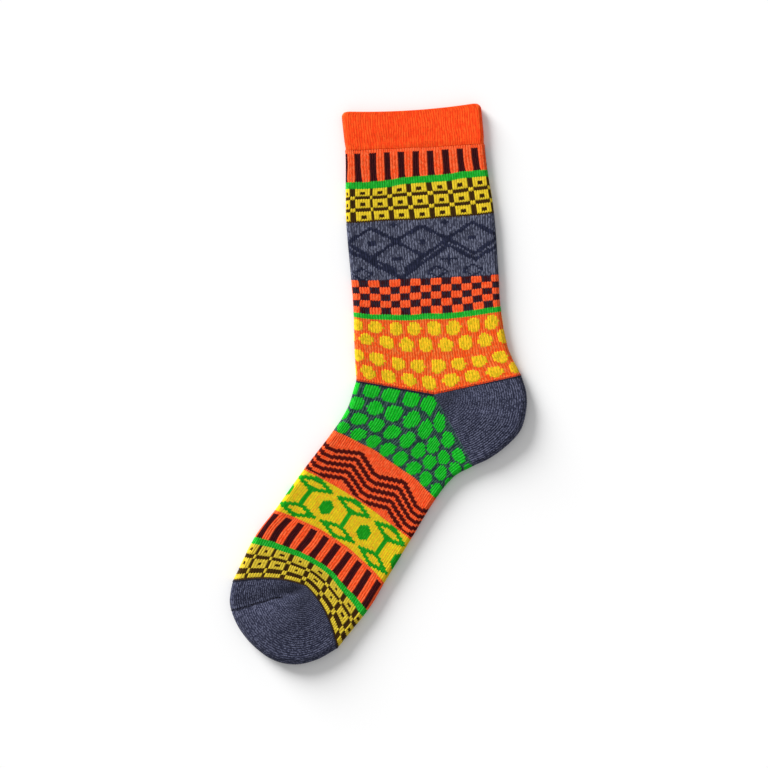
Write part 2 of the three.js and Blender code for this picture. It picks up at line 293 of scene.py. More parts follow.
@dataclass(frozen=True)
class Band:
    """A band of the pattern, from one course to another, plain or in two yarns.

    Args:
        first: Its first course.
        last: The course after its last.
        ground: The yarn that it is knitted in.
        figure: The yarn of its figures.
    """

    first: float
    last: float
    ground: Yarn
    figure: Yarn | None = None

    def figured(self, wale: Array, course: Array) -> Array:
        """Tells which stitches are in the figure's yarn.

        Args:
            wale: The stitch's place round the sock, in wales from the front fold.
            course: Its place down the band, in courses from the band's first.

        Returns:
            True for each stitch of a figure.
        """
        return np.zeros(wale.shape, bool)

    def paint(self, wale: Array, course: Array) -> Array:
        """Gives the yarn of each stitch, as indices into YARNS."""
        figure, ground = yarn_index(self.figure or self.ground), yarn_index(self.ground)
        return np.where(self.figured(wale, course), figure, ground)

    def drawn(self, wale: Array, course: Array) -> tuple[Array | float, Array | float]:
        """Gives how many wales and courses the floats behind each stitch draw it aside."""
        return 0.0, 0.0


@dataclass(frozen=True, kw_only=True)
class JoinBand(Band):
    """A course at a join, painted in shade on the instep and plain along the heel's gore."""

    gore_wale: float

    def figured(self, wale: Array, course: Array) -> Array:
        """Tells which stitches are along the gore."""
        return np.minimum(wale, WALES_ROUND - wale) > self.gore_wale


@dataclass(frozen=True, kw_only=True)
class BarBand(Band):
    """Upright bars, with plain courses of the ground before them."""

    plain: float
    bar_wales: int
    gap_wales: int
    offset: int
    draw: float = 0.26  # wales that each side of a bar is drawn in

    def figured(self, wale: Array, course: Array) -> Array:
        """Tells which stitches are in a bar."""
        barred = (wale - self.offset) % (self.bar_wales + self.gap_wales) < self.bar_wales
        return barred & (course >= self.plain)

    def drawn(self, wale: Array, course: Array) -> tuple[Array, float]:
        """Draws each bar's sides in, most at its middle.

        Args:
            wale: The wale of each stitch.
            course: Its course in the band.

        Returns:
            The wales that each stitch is drawn aside, and no courses.
        """
        turn = (wale - self.offset - self.bar_wales / 2) / (self.bar_wales + self.gap_wales)
        ends = np.minimum(course - self.plain + 1, self.last - self.first - course) / 2
        return -self.draw * np.sin(2 * np.pi * turn) * np.clip(ends, 0, 1), 0.0


@dataclass(frozen=True, kw_only=True)
class SquareBand(Band):
    """Rows of hollow squares between dark lines, with a light tie where the lines cross."""

    line_wales: tuple[int, ...]
    row_courses: float
    line_courses: float
    hole_at: float
    hole_courses: float
    spread: float  # courses that each side of a line is pushed out

    def figured(self, wale: Array, course: Array) -> Array:
        """Tells which stitches are in a line, a hole or the last course, which seals the band.

        Args:
            wale: The wale of each stitch.
            course: Its course in the band.

        Returns:
            True for each of them.
        """
        face = np.floor(wale % FACE_WALES).astype(int)
        upright = np.isin(face, self.line_wales)
        starts = np.array([-1, *self.line_wales, FACE_WALES])
        place = np.searchsorted(starts, face)
        middle = (starts[np.clip(place, 1, len(starts) - 1)] + starts[place - 1]) / 2
        holed = np.abs(face - middle) < 1
        down = course % self.row_courses
        across = down >= self.row_courses - self.line_courses
        hole = holed & (down >= self.hole_at) & (down < self.hole_at + self.hole_courses)
        hole &= course - down + self.row_courses < self.last - self.first + 1
        sealed = course > self.last - self.first - 1
        return (upright ^ across) | (hole & ~upright) | sealed

    def drawn(self, wale: Array, course: Array) -> tuple[float, Array]:
        """Pushes each line's sides out along the wales.

        Args:
            wale: The wale of each stitch.
            course: Its course in the band.

        Returns:
            No wales, and the courses that each stitch is pushed.
        """
        turn = (course + self.line_courses / 2) / self.row_courses
        ends = np.minimum(course, self.last - self.first - course) / 2
        return 0.0, self.spread * np.sin(2 * np.pi * turn) * np.clip(ends, 0, 1)


@dataclass(frozen=True)
class Line:
    """A bent line of a drawn pattern, in wales and courses, thick in courses."""

    thick: float
    points: tuple[tuple[float, float], ...]


@dataclass(frozen=True, kw_only=True)
class LineBand(Band):
    """A band drawn in lines, repeated on each face."""

    lines: tuple[Line, ...]
    upright_half: float = 0.6  # half the width of an upright stroke, in wales
    past: float = 0.02  # share of its length that a stroke goes on past each end

    def figured(self, wale: Array, course: Array) -> Array:
        """Tells which stitches are in a line.

        Args:
            wale: The wale of each stitch.
            course: Its course in the band.

        Returns:
            True for each of them.
        """
        face, drawn = wale % FACE_WALES, np.zeros(wale.shape, bool)
        for line in self.lines:
            for (w0, c0), (w1, c1) in zip(line.points, line.points[1:]):
                if abs(w1 - w0) < 1:
                    on = (np.abs(face - w0) < self.upright_half) & (course > c0) & (course < c1)
                else:
                    share = (face - w0) / (w1 - w0)
                    on = np.abs(course - c0 - (c1 - c0) * share) < line.thick / 2
                    on &= (share > -self.past) & (share < 1 + self.past)
                drawn |= on
        return drawn


@dataclass(frozen=True, kw_only=True)
class CheckBand(Band):
    """Checks, each some wales wide and some courses high."""

    cell_wales: int
    rows: tuple[float, ...]  # the courses where one row of checks ends
    draw: float = 0.2  # wales that each side of a check is drawn in

    def figured(self, wale: Array, course: Array) -> Array:
        """Tells which stitches are in a dark check."""
        return (np.floor(wale / self.cell_wales) + np.searchsorted(self.rows, course)) % 2 == 1

    def drawn(self, wale: Array, course: Array) -> tuple[Array, float]:
        """Draws each check's sides in, most at its middle.

        Args:
            wale: The wale of each stitch.
            course: Its course in the band.

        Returns:
            The wales that each stitch is drawn aside, and no courses.
        """
        ends = np.array([0, *self.rows])
        row = np.clip(np.searchsorted(self.rows, course), 0, len(self.rows) - 1)
        share = np.clip((course - ends[row]) / (ends[row + 1] - ends[row]), 0, 1)
        turn = (wale / self.cell_wales + row - 1.5) / 2
        return -self.draw * np.sin(2 * np.pi * turn) * np.sqrt(np.sin(np.pi * share)), 0.0


@dataclass(frozen=True, kw_only=True)
class DotBand(Band):
    """Staggered rows of round dots."""

    face_dots: int
    rows: tuple[float, ...]
    offset: float
    half_wales: float
    half_courses: float
    squareness: float = 2.0  # 2 for an ellipse, more for fuller corners
    late: tuple[float, ...] = (0, 0, 0, 0)  # courses that each row comes late near one wale
    late_at: float = 0.0  # that wale, from the front fold on either face
    late_reach: float = 9.0  # how many wales to each side come late

    def figured(self, wale: Array, course: Array) -> Array:
        """Tells which stitches are in a dot.

        Args:
            wale: The wale of each stitch.
            course: Its course in the band.

        Returns:
            True for each of them.
        """
        dotted = np.zeros(wale.shape, bool)
        spacing = FACE_WALES / self.face_dots
        for number, row in enumerate(self.rows):
            start = self.offset + (number % 2) * spacing / 2
            across = (wale - start + spacing / 2) % spacing - spacing / 2
            face = np.minimum(wale - across, WALES_ROUND - wale + across)
            near = np.exp(-(((face - self.late_at) / self.late_reach) ** 4))
            down = course - row - self.late[number] * near
            away = np.abs(across / self.half_wales) ** self.squareness
            dotted |= away + np.abs(down / self.half_courses) ** self.squareness < 1
        return dotted


@dataclass(frozen=True, kw_only=True)
class ZigzagBand(Band):
    """Zigzag lines, one under the other."""

    repeat: float
    peak: float
    first_line: float
    swing: float
    spacing: float
    lines: int
    thick: float
    floor: float

    def figured(self, wale: Array, course: Array) -> Array:
        """Tells which stitches are in a zigzag.

        Args:
            wale: The wale of each stitch.
            course: Its course in the band.

        Returns:
            True for each of them.
        """
        half = self.repeat / 2
        fall = np.abs((wale - self.peak + half) % self.repeat - half) / half * self.swing
        down = course - self.first_line - fall + self.thick / 2
        on = (down >= 0) & (down < self.lines * self.spacing) & (course < self.floor)
        return on & (down % self.spacing < self.thick)


@dataclass(frozen=True, kw_only=True)
class HexagonBand(Band):
    """Dots in hexagons, which upright stems and rows of pointed leaves part."""

    repeat: float
    stem: float
    stem_half: float
    leaf_rows: tuple[float, ...]
    leaf_wales: float
    leaf_courses: float
    heart_wales: float
    heart_courses: float
    dot_row: float
    dot_wales: float
    dot_courses: float

    def figured(self, wale: Array, course: Array) -> Array:
        """Tells which stitches are in a stem, the rim of a leaf or a dot.

        Args:
            wale: The wale of each stitch.
            course: Its course in the band.

        Returns:
            True for each of them.
        """
        half = self.repeat / 2
        across = np.abs((wale - self.stem + half) % self.repeat - half)
        top, low = self.leaf_rows
        on = (across < self.stem_half) & (course > top) & (course < low)
        for row in self.leaf_rows:
            down = np.abs(course - row)
            leaf = across / self.leaf_wales + down / self.leaf_courses < 1
            heart = across / self.heart_wales + down / self.heart_courses < 1
            on = (on | leaf) & ~heart
        dot = (half - across) ** 2 / self.dot_wales**2
        return on | (dot + (course - self.dot_row) ** 2 / self.dot_courses**2 < 1)


DIAMOND_LINES = (
    # The rims of the large diamonds
    Line(2.5, ((0.5, 12.0), (10, 3.2), (20, 11.5), (10, 20.5), (0, 11.0))),
    Line(2.5, ((20, 11.5), (30, 3.0), (40, 11.5), (30, 20.5), (20, 11.5))),
    Line(2.5, ((60, 12.0), (50, 3.2), (40, 11.5), (50, 21.0), (60, 12.5))),
    # The thick chevrons under them
    Line(2.9, ((0, 14.6), (20.5, 32.8))), Line(2.6, ((10, 20.5), (18.6, 28.1))),
    Line(2.7, ((40, 14.8), (20.5, 32.8))), Line(2.6, ((30, 20.5), (22.4, 28.1))),
    Line(2.2, ((40, 14.8), (50, 24.4), (60, 16.4))),
    # The hearts of the diamonds, and the small crosses between them
    Line(2.8, ((8.7, 11.9), (11.5, 11.9))), Line(2.8, ((28.7, 11.9), (31.3, 11.9))),
    Line(2.8, ((48.5, 11.5), (51.2, 11.5))), Line(2.6, ((17.9, 21.4), (22.1, 21.8))),
    Line(1.3, ((36.6, 23.2), (43.0, 23.2))), Line(1, ((39.8, 20.5), (39.8, 26.2))),
    Line(1, ((19.5, 0.6), (19.5, 3.4))), Line(1.3, ((17.8, 2.4), (21.2, 2.4))),
    Line(1, ((39.5, 0.6), (39.5, 3.4))), Line(1.3, ((37.8, 2.4), (41.2, 2.4))),
    # The small diamonds along the lower edge
    Line(1.4, ((1.5, 30.0), (5.7, 26.5), (9.9, 30.0), (5.7, 33.5), (1.5, 30.0))),
    Line(1.4, ((30.8, 30.0), (34.7, 26.8), (38.6, 30.0), (34.7, 33.2), (30.8, 30.0))),
    Line(1.4, ((45.0, 30.0), (49.0, 26.5), (52.8, 30.0), (49.0, 33.2), (45.0, 30.0))),
)

LEG_BANDS = (
    Band(0, 22, Yarn.WELT_ORANGE),
    BarBand(22, 40, Yarn.BAR_ORANGE, Yarn.MAROON, plain=2, bar_wales=3, gap_wales=3, offset=5),
    Band(40, 43.6, Yarn.LINE_GREEN),
    SquareBand(43.6, 64.4, Yarn.SQUARE_YELLOW, Yarn.BROWN,
               line_wales=(3, 4, 11, 18, 19, 26, 27, 34, 35, 42, 43, 50, 51, 58, 59),
               row_courses=7, line_courses=2, hole_at=2.5, hole_courses=2, spread=0),
    LineBand(64.4, 98.2, Yarn.MARL, Yarn.NAVY, lines=DIAMOND_LINES),
    CheckBand(98.2, 117.6, Yarn.BAR_ORANGE, Yarn.CHECK_MAROON, cell_wales=4,
              rows=(3.8, 7.8, 11.8, 15.8, 19.4)),
    Band(117.6, 121.2, Yarn.LINE_GREEN),
    DotBand(121.2, 157, Yarn.DOT_ORANGE, Yarn.DOT_YELLOW, face_dots=8,
            rows=(4.4, 12.6, 22.9, 31.0), offset=2.3, half_wales=2.72, half_courses=3.6),
    # The leg's last course, in painted shade at its join with the heel and foot.
    Band(157, 159, Yarn.JOIN_SHADE_ORANGE),
)
FOOT_BANDS = (
    # The foot's first course, in painted shade along its join on the instep.
    JoinBand(0, 1, Yarn.SEAM_SHADE, Yarn.SLATE, gore_wale=30),
    DotBand(1, 31.4, Yarn.SLATE, Yarn.DOT_GREEN, face_dots=8,
            rows=(2.9, 10.6, 18.2, 26.3), offset=0.3, half_wales=3.1,
            half_courses=3.6, squareness=2.1, late=(1.9, 1.6, 0.8, 0), late_at=46),
    ZigzagBand(31.4, 58.2, Yarn.BAR_ORANGE, Yarn.ZIGZAG_MAROON, repeat=24, peak=18,
               first_line=4.6, swing=5.5, spacing=4, lines=5, thick=2.4, floor=25.8),
    HexagonBand(58.2, 86.2, Yarn.HEXAGON_YELLOW, Yarn.HEXAGON_GREEN, repeat=20, stem=9,
                stem_half=1.05, leaf_rows=(4.3, 22.8), leaf_wales=9.5, leaf_courses=5.0,
                heart_wales=5.3, heart_courses=2.1, dot_row=13.9, dot_wales=3.4,
                dot_courses=4.8),
    BarBand(86.2, 104.8, Yarn.BAR_ORANGE, Yarn.MAROON, plain=2, bar_wales=3, gap_wales=3,
            offset=1, draw=0.1),
    Band(104.8, 108.8, Yarn.LINE_GREEN),
    SquareBand(108.8, 130, Yarn.FOOT_YELLOW, Yarn.BROWN,
               line_wales=(5, 11, 18, 19, 27, 28, 37, 38, 46, 47, 54, 55),
               row_courses=8.6, line_courses=2.6, hole_at=2, hole_courses=2, spread=0.2),
)
LEG_SLIPS = (
    Slip(wale=13, course=42, reach=9, length=6, shift=1.5),
    Slip(wale=53, course=42, reach=8, length=6, shift=-1.3),
    Slip(wale=3, course=141, reach=13, length=15, shift=-1.7),
)
FOOT_SLIPS = (Slip(wale=50, course=107, reach=11, length=9, shift=2.4),)


@dataclass
class Shape:
    """A course, or many, as arrays: its three points, kink and stack."""

    front: Array
    middle: Array
    back: Array
    kink: Array
    stack: Array

    def point(self, u: Array) -> Array:
        """Gives the place at share u of the way from the front fold to the back fold.

        Args:
            u: The share, from 0 to 1, for each course.

        Returns:
            Points seen from above, in millimetres.
        """
        u = u[..., None]
        kink = self.kink[..., None]
        bow = self.front * (1 - u) * (1 - 2 * u) + self.middle * 4 * u * (1 - u)
        bow = bow + self.back * u * (2 * u - 1)
        fore = self.front + (self.middle - self.front) * 2 * u
        aft = self.middle + (self.back - self.middle) * (2 * u - 1)
        return bow * (1 - kink) + np.where(u < 0.5, fore, aft) * kink

    def width(self) -> Array:
        """Gives the course's length from fold to fold."""
        fore = np.linalg.norm(self.front - self.middle, axis=-1)
        return fore + np.linalg.norm(self.middle - self.back, axis=-1)


class Run:
    """A run of courses, on a smooth curve through the rows of its table."""

    def __init__(self, rows: tuple[Course, ...]) -> None:
        """Keeps the rows as arrays, with the slope at each.

        Args:
            rows: The courses where the pattern changes.
        """
        self.counts = np.array([row.count for row in rows], float)
        self.values = np.array(
            [[*row.front, *row.middle, *row.back, row.kink, row.stack] for row in rows], float)
        last = len(rows) - 1
        self.slopes = np.array([
            (self.values[min(last, k + 1)] - self.values[max(0, k - 1)])
            / (self.counts[min(last, k + 1)] - self.counts[max(0, k - 1)])
            for k in range(last + 1)])

    def at(self, count: Array) -> Shape:
        """Gives the courses at these counts.

        Args:
            count: Counts down the run.

        Returns:
            Their shapes, in arrays of the same form.
        """
        i = np.clip(np.searchsorted(self.counts, count, side="right") - 1,
                    0, len(self.counts) - 2)
        span = (self.counts[i + 1] - self.counts[i])[..., None]
        t = (count - self.counts[i])[..., None] / span
        p, q = self.values[i], self.values[i + 1]
        v = p + (q - p) * smooth(t)
        v = v + span * t * (1 - t) * (self.slopes[i] * (1 - t) - self.slopes[i + 1] * t)
        return Shape(v[..., 0:2], v[..., 2:4], v[..., 4:6], np.clip(v[..., 6], 0, 1), v[..., 7])


LEG = Run(LEG_COURSES)
FOOT = Run(FOOT_COURSES)


def soft_noise(across: Array, down: Array, seed: int) -> Array:
    """Gives smooth noise that repeats.

    Args:
        across: Place round the sock, in strays.
        down: Place along it, in strays, 0 or more.
        seed: Which noise.

    Returns:
        Numbers from -1 to 1.
    """
    dice = np.random.default_rng(SEED + seed).uniform(-1, 1, WANDER_GRID)
    i, j = np.floor(across).astype(int), np.floor(down).astype(int)
    s, t = smooth(across - i), smooth(down - j)

    def row(k: Array) -> Array:
        """Blends the row's numbers across."""
        k = k % WANDER_GRID[1]
        return dice[i % WANDER_GRID[0], k] * (1 - s) + dice[(i + 1) % WANDER_GRID[0], k] * s

    return row(j) * (1 - t) + row(j + 1) * t


def strayed(wale: Array, course: Array, share: Array) -> tuple[Array, Array]:
    """Lets the knit stray a little from straight wales and level courses.

    Args:
        wale: Places round the piece.
        course: Places down it.
        share: How much they stray, 0 where the piece joins another.

    Returns:
        The wales and courses where they lie.
    """
    across, down = wale / WANDER_WALES, (course + WANDER_BEFORE) / WANDER_COURSES
    return (wale + WALE_WANDER * share * soft_noise(across, down, 1),
            course + COURSE_WANDER * share * soft_noise(across, down, 2))


def trough_at(place: Array, troughs: tuple[Trough, ...]) -> Array:
    """Gives how far a side sinks into the sock at each place, from the troughs there.

    Args:
        place: Points seen from above.
        troughs: The side's troughs.

    Returns:
        Depths in millimetres.
    """
    sink = np.zeros(place.shape[:-1])
    for trough in troughs:
        turn = math.radians(trough.heading)
        dx, dy = place[..., 0] - trough.x, place[..., 1] - trough.y
        along = (dx * math.cos(turn) + dy * math.sin(turn)) / trough.long
        across = (dy * math.cos(turn) - dx * math.sin(turn)) / trough.wide
        sink += trough.depth * np.exp(-2 * (along**2 + across**2))
    return sink


def sag(edge: Array) -> Array:
    """Gives the sink of a side between its folds: edge is 0 at the middle and 1 at a fold."""
    return EDGE_SWELL * (1 - np.abs(edge) ** 3)


def fold_section(
    arc: Array, flat: Array, radius: Array, inset: Array
) -> tuple[Array, Array, Array]:
    """Gives a point of a side that runs flat and then round half a fold.

    Args:
        arc: Its distance along the outer face.
        flat: The length of the flat stretch.
        radius: The fold's outer radius.
        inset: How far the point lies inside the outer face.

    Returns:
        Its distance out, its height above the fold's middle, and the share of its side's
        form that it takes.
    """
    turn = np.clip((arc - flat) / radius, 0, math.pi / 2)
    out = np.where(arc < flat, arc, flat + (radius - inset) * np.sin(turn))
    return out, (radius - inset) * np.cos(turn), np.cos(turn)


def stacked(
    place: Array, above: Array, radius: Array, up: Array, share: Array, sunk: Array
) -> Array:
    """Gives the points of a flattened tube their height, with the troughs of both sides.

    Args:
        place: Where they are, seen from above.
        above: True for those of the upper side.
        radius: The height of the folds' middle.
        up: Each point's height over it or under it, in a side with no form.
        share: The share of its side's form that it takes.
        sunk: How far the upper side sinks there, apart from its troughs.

    Returns:
        Points in millimetres.
    """
    sink = share * (sunk + trough_at(place, TROUGHS))
    lift = share * trough_at(place, UNDER_TROUGHS)
    z = np.where(above, radius + up - sink, radius - up + lift)
    return np.concatenate([place, z[..., None]], -1)


def mesh_of(bm: bmesh.types.BMesh, name: str) -> bpy.types.Mesh:
    """Turns a bmesh into a new mesh.

    Args:
        bm: The bmesh, which is freed.
        name: The mesh's name.

    Returns:
        The mesh.
    """
    mesh = bpy.data.meshes.new(name)
    bm.to_mesh(mesh)
    bm.free()
    return mesh


def linked(name: str, data: bpy.types.ID) -> bpy.types.Object:
    """Makes an object of a mesh, camera or light, and puts it in the scene.

    Args:
        name: The object's name.
        data: What it is made of.

    Returns:
        The object.
    """
    made = bpy.data.objects.new(name, data)
    bpy.context.scene.collection.objects.link(made)
    return made


def colour_corners(mesh: bpy.types.Mesh, rgba: Array) -> None:
    """Writes the linear colour of each corner of a mesh's faces, with any painted light and shade
    in it, which its material shows.
    """
    yarn = mesh.color_attributes.new("yarn", "FLOAT_COLOR", "CORNER")
    yarn.data.foreach_set("color", rgba.astype(np.float32).ravel())


@dataclass
class KnitPiece:
    """A stretch of knit that stands for one solid.

    Args:
        node: The solid's name, and the piece's.
        slot: The record's material slot. Not used.
        finish: What dresses it.
    """

    node: str
    slot: str
    finish: "KnitFinish"
    fleck: float = field(default=1.3, kw_only=True)  # length of one fleck, in courses
    deep: float = field(default=1.0, kw_only=True)  # share of the stitches' depth that shows

    def columns(self) -> int:
        """Gives the number of faces round the piece."""
        return WALES_ROUND * COLUMNS_PER_WALE

    def stations(self) -> tuple[Array, Array]:
        """Gives the wall's rows: their courses, and the share of its depth that each lies at."""
        raise NotImplementedError

    def place(self, wale: Array, course: Array, inset: Array) -> Array:
        """Puts points of the knit in space, in millimetres."""
        raise NotImplementedError

    def pattern(self, wale: Array, course: Array) -> Array:
        """Gives the yarn of the stitch at each place, as indices into YARNS."""
        raise NotImplementedError

    def fade(self, wale: Array, course: Array) -> Array:
        """Gives how much of a stitch's slant and depth shows, 0 at a join and 1 elsewhere."""
        raise NotImplementedError

    def wall(self, course: Array) -> Array:
        """Gives the wall's thickness."""
        return np.full(course.shape, WALL)

    def flat_size(self) -> tuple[float, float]:
        """Gives the size that the piece is knitted to, round and along, in metres."""
        raise NotImplementedError

    def relief(self, wale: Array, course: Array, shows: Array | float = 1.0) -> Array:
        """Gives the depth of the knit's surface below the cloth's face.

        Args:
            wale: Place round the piece.
            course: Place down it.
            shows: Share of the stitches' own depth that shows.

        Returns:
            Depths in millimetres.
        """
        column = np.rint(wale * COLUMNS_PER_WALE).astype(int) % COLUMNS_PER_WALE
        row = np.rint(course * ROWS_PER_COURSE).astype(int) % ROWS_PER_COURSE
        depth = np.array(STITCH_SECTION)[column] + np.where(row == 0, STITCH_NECK, 0)
        rise = np.array([yarn.value.rise for yarn in YARNS])
        depth = depth + rise.max() - rise[self.pattern(wale + HAIR, course + HAIR)]
        return depth * self.deep * shows

    def drawn_in(self, course: Array) -> Array:
        """Gives how far both faces of the wall turn into it, in millimetres."""
        return np.zeros(course.shape)

    def colours(self, wale: Array, course: Array, inside: Array) -> Array:
        """Gives the colour of each face of the wall, with painted shade on the inside and the rims.

        Args:
            wale: Place of the face's middle round the piece.
            course: Its place down it.
            inside: True for a face on the inside or the rims.

        Returns:
            Linear colours.
        """
        rng = np.random.default_rng(SEED + len(self.node))
        base = np.array([linear_from_hex(yarn.value.colour) for yarn in YARNS])
        twist = np.array([linear_from_hex(yarn.value.twist) for yarn in YARNS])
        share = np.array([yarn.value.share for yarn in YARNS])
        yarns = self.pattern(np.floor(wale) + 0.5, np.floor(course) + 0.5)
        across = np.floor(wale * COLUMNS_PER_WALE).astype(int)
        shift = FLECK_SHIFT[0] * np.sin(across * FLECK_SHIFT[1])
        down = np.floor(course / self.fleck + shift).astype(int)
        dice = rng.random(DICE)
        roll = dice[(across * FLECK_STEP[0] + down * FLECK_STEP[1]) % DICE]
        # The twist shows most on the stitches' crowns; where it is pale, as in the marls, that is
        # partly a painted highlight.
        roll = roll / np.array(FLECK_SECTION)[across % COLUMNS_PER_WALE]
        stitch = np.floor(wale).astype(int), np.floor(course).astype(int)
        tone = dice[(stitch[0] * TONE_STEP[0] + stitch[1] * TONE_STEP[1]) % DICE]
        colour = np.where((roll < share[yarns])[:, None], twist[yarns], base[yarns])
        colour = colour * (TONE_LOW + TONE_SPAN * tone)[:, None]
        # Painted shade: faces on the inside and the rims keep only part of their colour.
        return np.where(inside[:, None], colour * INSIDE_LIGHT, colour)

    def build(self) -> bpy.types.Object:
        """Makes the piece and has it ride and replace its solid.

        Returns:
            The piece.
        """
        mesh = self.folded_grid()
        piece = linked(f"{self.node}_knit", mesh)
        mesh.materials.append(self.finish.material())
        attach(piece, "root")
        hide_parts(self.node)
        self.flat_size()
        LOG.info("%s: %d faces", piece.name, len(mesh.polygons))
        return piece

    def folded_grid(self) -> bpy.types.Mesh:
        """Folds one grid into a closed wall, down its outside and back up its inside.

        Returns:
            The wall's mesh, with its colours and its map of wales and courses.
        """
        course_of, depth_of = self.stations()
        rows, columns = len(course_of), self.columns()
        bm = bmesh.new()
        bmesh.ops.create_grid(bm, x_segments=columns, y_segments=rows, size=0.5, calc_uvs=False)
        mesh = mesh_of(bm, self.node)
        co = np.empty(len(mesh.vertices) * 3)
        mesh.vertices.foreach_get("co", co)
        co = co.reshape(-1, 3)
        column = np.rint((co[:, 0] + 0.5) * columns).astype(int)
        row = np.rint((co[:, 1] + 0.5) * rows).astype(int) % rows
        wale = column / COLUMNS_PER_WALE
        course, depth = course_of[row], depth_of[row]
        outer, shows = depth == 0, self.fade(wale, course)
        slant = (np.abs((wale % 1) - 0.5) * 2 - 0.5) * STITCH_SLANT * shows * outer
        drawn = self.drawn_in(course)
        inset = self.relief(wale, course, shows) * outer
        inset = inset + np.where(outer, drawn, self.wall(course) * depth - drawn)
        place = self.place(wale, course + slant, inset)
        mesh.vertices.foreach_set("co", (place * MM).ravel())
        self.dress_faces(mesh, wale, course, depth, self.relief(wale, course) * outer)
        return self.closed(mesh)

    def dress_faces(
        self, mesh: bpy.types.Mesh, wale: Array, course: Array, depth: Array, sunk: Array
    ) -> None:
        """Writes each face's colour, with painted light on the stitches' crowns and painted shade
        between them, and the map of wales and courses.

        Args:
            mesh: The grid's mesh.
            wale: The wale of each vertex.
            course: The course of each vertex.
            depth: The share of the wall's depth of each vertex.
            sunk: Depth of the stitch at each vertex, in millimetres, which sets its painted shade.
        """
        corners = np.empty(len(mesh.loops), int)
        mesh.loops.foreach_get("vertex_index", corners)
        corners = corners.reshape(-1, 4)
        inside = depth[corners].max(1) > 0
        colour = self.colours(wale[corners].mean(1), course[corners].mean(1), inside)
        rgba = np.ones((len(corners), 4, 4), np.float32)
        # Painted light and shade: the colour is raised on the stitches' crowns and lowered with
        # their depth, in the grooves between them and in the toe seam's groove, also where the
        # cloth lies flat at a join.
        lit = STITCH_LIGHT - SHADE_BETWEEN * sunk[corners].mean(1)
        rgba[:, :, :3] = (colour * lit[:, None])[:, None, :]
        colour_corners(mesh, rgba)
        uv = np.stack([wale[corners], course[corners]], -1).astype(np.float32)
        mesh.uv_layers.new(name="knit").data.foreach_set("uv", uv.ravel())

    @staticmethod
    def closed(mesh: bpy.types.Mesh) -> bpy.types.Mesh:
        """Joins the grid's edges where they meet, and turns its faces outwards.

        Args:
            mesh: The folded grid's mesh.

        Returns:
            The same mesh, closed.
        """
        bm = bmesh.new()
        bm.from_mesh(mesh)
        bmesh.ops.remove_doubles(bm, verts=bm.verts, dist=WELD * MM)
        bmesh.ops.holes_fill(bm, edges=[edge for edge in bm.edges if edge.is_boundary])
        if bm.calc_volume(signed=True) < 0:
            bmesh.ops.reverse_faces(bm, faces=bm.faces)
        bm.to_mesh(mesh)
        bm.free()
        mesh.shade_smooth()
        mesh.set_sharp_from_angle(angle=RIM_ANGLE)
        return mesh


@dataclass
class KnitTube(KnitPiece):
    """A flattened tube of knit between two courses of a run."""

    run: Run
    first: float
    last: float
    bands: tuple[Band, ...]
    slips: tuple[Slip, ...] = ()

    def stations(self) -> tuple[Array, Array]:
        """Gives the rows of the wall, down its outside and back up its inside.

        Returns:
            The courses, and 0 for each row outside and 1 for each inside.
        """
        rows = round((self.last - self.first) * ROWS_PER_COURSE)
        outside = np.linspace(self.first, self.last, rows + 1)
        inside = np.linspace(self.last, self.first, INNER_ROWS + 1)
        return (np.concatenate([outside, inside]),
                np.concatenate([np.zeros(rows + 1), np.ones(INNER_ROWS + 1)]))

    def bands_at(self, course: Array) -> Iterator[tuple[Band, Array]]:
        """Gives each band that some of the places are in.

        Args:
            course: Places down the piece.

        Returns:
            Pairs of a band and True for its places.
        """
        for band in self.bands:
            here = (course >= band.first) & (course < band.last)
            if here.any():
                yield band, here

    def from_ends(self, course: Array) -> Array:
        """Gives how many courses each place is from the nearer end of the run."""
        return np.minimum(course - self.run.counts[0], self.run.counts[-1] - course)

    def fade(self, wale: Array, course: Array) -> Array:
        """Gives how much of a stitch shows. It fades only at the two ends of the run."""
        return np.clip(self.from_ends(course), 0, 1)

    def pattern(self, wale: Array, course: Array) -> Array:
        """Gives the yarn of the stitch at each place, from the bands.

        Args:
            wale: Places round the piece.
            course: Places down it.

        Returns:
            Indices into YARNS.
        """
        yarns = np.zeros(wale.shape, int)
        for band, here in self.bands_at(course):
            yarns[here] = band.paint(wale[here], course[here] - band.first)
        return yarns

    def place(self, wale: Array, course: Array, inset: Array) -> Array:
        """Puts points of the knit in space, strayed and slipped as it was knitted.

        Args:
            wale: Places round the piece.
            course: Places down it.
            inset: How far each lies inside the outer face.

        Returns:
            Points in millimetres.
        """
        share = np.clip(self.from_ends(course) / JOIN_COURSES, 0, 1)
        for band, here in self.bands_at(course):
            aside, along = band.drawn(wale, course - band.first)
            wale = wale + np.where(here, aside, 0)
            course = course + np.where(here, along, 0)
        wale, course = strayed(wale, course, share)
        for slip in self.slips:
            aside = (wale - slip.wale + FACE_WALES) % WALES_ROUND - FACE_WALES
            across = aside / slip.reach
            down = (course - slip.course) / slip.length
            course = course + share * slip.shift * np.exp(-(across**4) - down**2)
        course = np.clip(course, self.run.counts[0], self.run.counts[-1])
        return tube_place(self.run.at(course), wale % WALES_ROUND, inset)

    def flat_size(self) -> tuple[float, float]:
        """Gives the size that the tube is knitted to, round and along.

        Returns:
            Its size in metres.
        """
        shape = self.run.at(np.linspace(self.first, self.last, MEASURE_ROWS))
        radius = shape.stack / 2
        around = 2 * (shape.width() - 2 * radius + math.pi * radius)
        front, middle, back = (
            np.linalg.norm(np.diff(line, axis=0), axis=-1).sum()
            for line in (shape.front, shape.middle, shape.back))
        return float(around.mean()) * MM, float(front + 2 * middle + back) / 4 * MM


